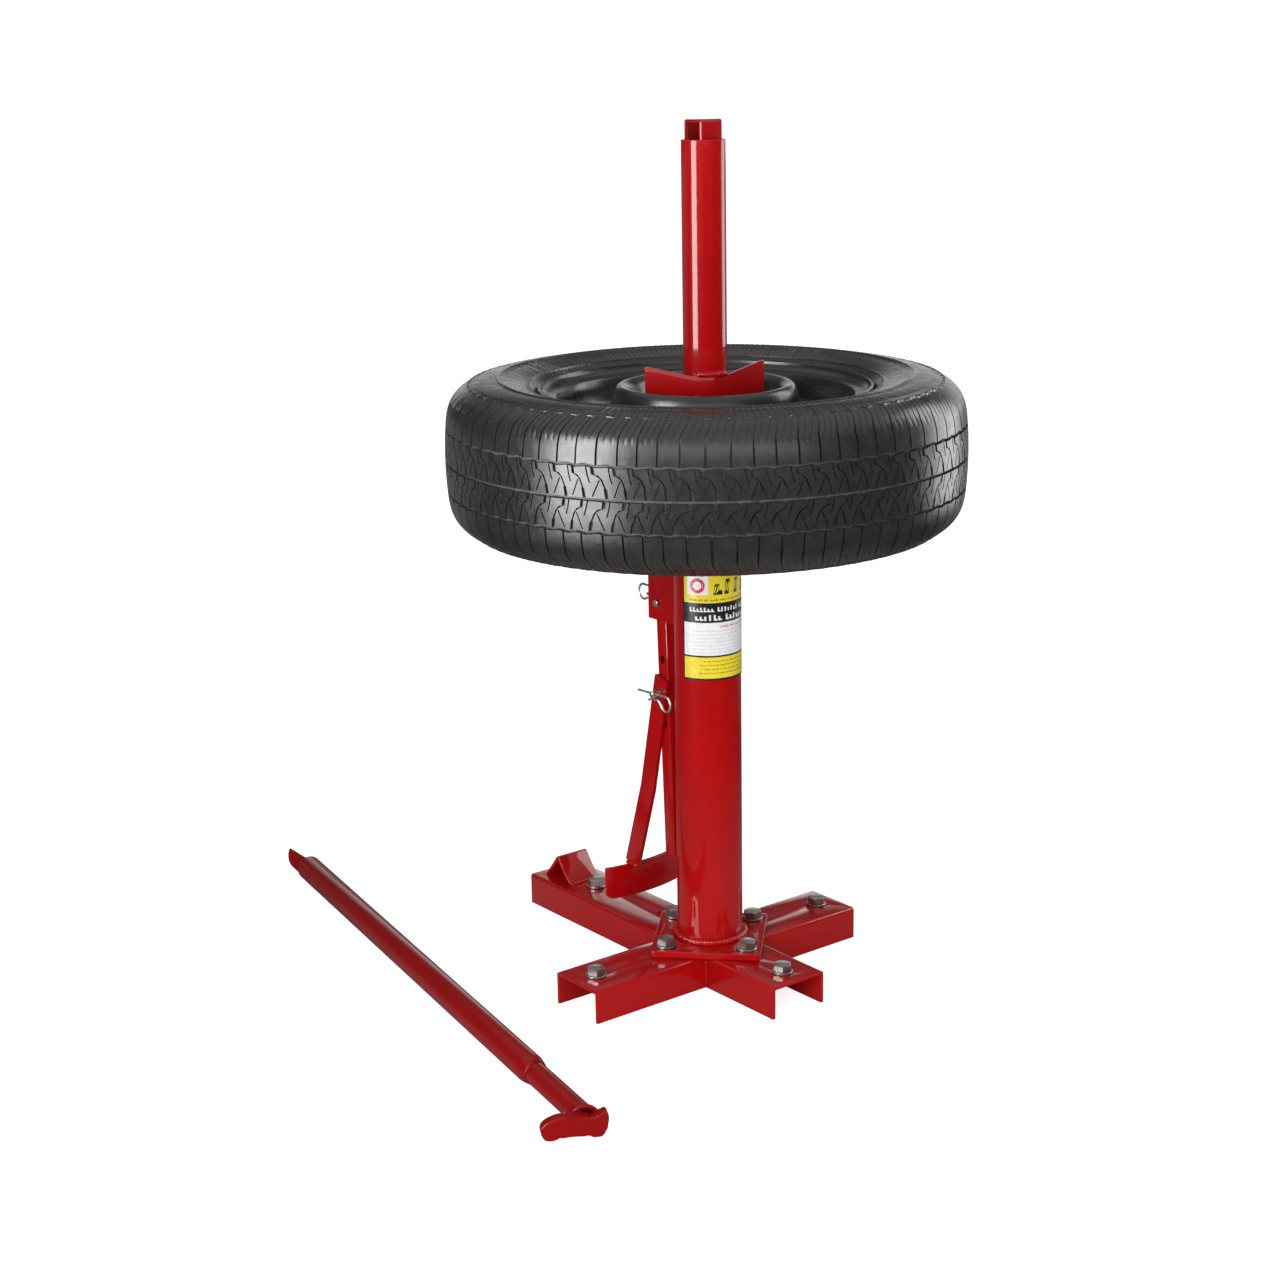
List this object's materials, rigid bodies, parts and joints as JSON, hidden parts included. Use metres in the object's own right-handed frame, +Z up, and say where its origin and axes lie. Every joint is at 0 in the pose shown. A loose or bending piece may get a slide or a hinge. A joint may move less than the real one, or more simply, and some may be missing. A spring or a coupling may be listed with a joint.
{
  "type": "manual tire changer",
  "caption": "Floor-standing manual tire changer with a bead breaker arm, a clamp sleeve over a square post, a loaded steel wheel and a loose mount bar.",
  "frame": {"origin": "on the floor, under the middle of the whole set's bounding box; the column stands at x = 0.1805, y = 0.0597", "axes": "+Z up, along the column; +X along the long leg towards its short end; +Y along the cross leg, away from the mount bar"},
  "size_m": [0.938, 0.6964, 0.979],
  "materials": {
    "red_enamel": "glossy red enamel",
    "zinc": "zinc plated",
    "tyre_rubber": "satin",
    "valve_rubber": "matte",
    "rim_paint": "semi-gloss dark grey",
    "label_film": "printed film, no lettering"
  },
  "bodies": {
    "frame": {"long_leg": "red_enamel", "cross_leg": "red_enamel", "base_plate": "red_enamel", "plate_bolt_1": "zinc", "plate_bolt_2": "zinc", "plate_bolt_3": "zinc", "plate_bolt_4": "zinc", "plate_washer_1": "zinc", "plate_washer_2": "zinc", "plate_washer_3": "zinc", "plate_washer_4": "zinc", "plate_nut_1": "zinc", "plate_nut_2": "zinc", "plate_nut_3": "zinc", "plate_nut_4": "zinc", "leg_bolt_1": "zinc", "leg_bolt_2": "zinc", "leg_bolt_3": "zinc", "leg_bolt_4": "zinc", "leg_washer_1": "zinc", "leg_washer_2": "zinc", "leg_washer_3": "zinc", "leg_washer_4": "zinc", "column_tube": "red_enamel", "wheel_plate": "red_enamel", "post_spacer": "zinc", "centre_post": "red_enamel", "drive_pin": "zinc", "drive_pin_nut": "zinc", "breaker_bracket": "red_enamel", "pivot_pin": "zinc", "pivot_clip": "zinc", "rim_stop": "red_enamel", "column_label": "label_film"},
    "breaker_arm": {"breaker_arm": "red_enamel"},
    "breaker_link": {"breaker_link": "red_enamel", "breaker_shoe": "red_enamel", "link_pin": "zinc", "link_clip": "zinc"},
    "wheel": {"tyre": "tyre_rubber", "rim_barrel": "rim_paint", "wheel_disc": "rim_paint", "valve_stem": "valve_rubber"},
    "clamp": {"clamp_tube": "red_enamel", "clamp_foot": "red_enamel"},
    "mount_bar": {"bar_tube": "red_enamel", "bar_neck": "red_enamel", "mount_head": "red_enamel", "pry_tip": "red_enamel"}
  },
  "joints": [
    {"name": "breaker_arm_swing", "type": "hinge", "parent": "frame", "child": "breaker_arm", "pos_m": [0.1105, 0.0597, 0.435], "axis": [0, 1, 0], "range_deg": [0, 110]},
    {"name": "breaker_link_swing", "type": "hinge", "parent": "breaker_arm", "child": "breaker_link", "pos_m": [0.11468, 0.0597, 0.32858], "axis": [0, 1, 0], "range_deg": [-110, 0]},
    {"name": "wheel_lift", "type": "slide", "parent": "frame", "child": "wheel", "axis": [0, 0, 1], "range_m": [0, 0.32]},
    {"name": "clamp_lift", "type": "slide", "parent": "wheel", "child": "clamp", "axis": [0, 0, 1], "range_m": [0, 0.3]},
    {"name": "mount_bar_lift", "type": "slide", "parent": "frame", "child": "mount_bar", "axis": [0, 0, 1], "range_m": [0, 0.4]}
  ],
  "couplings": [
    {"joint": "breaker_link_swing", "follows": "breaker_arm_swing", "ratio": -1}
  ]
}
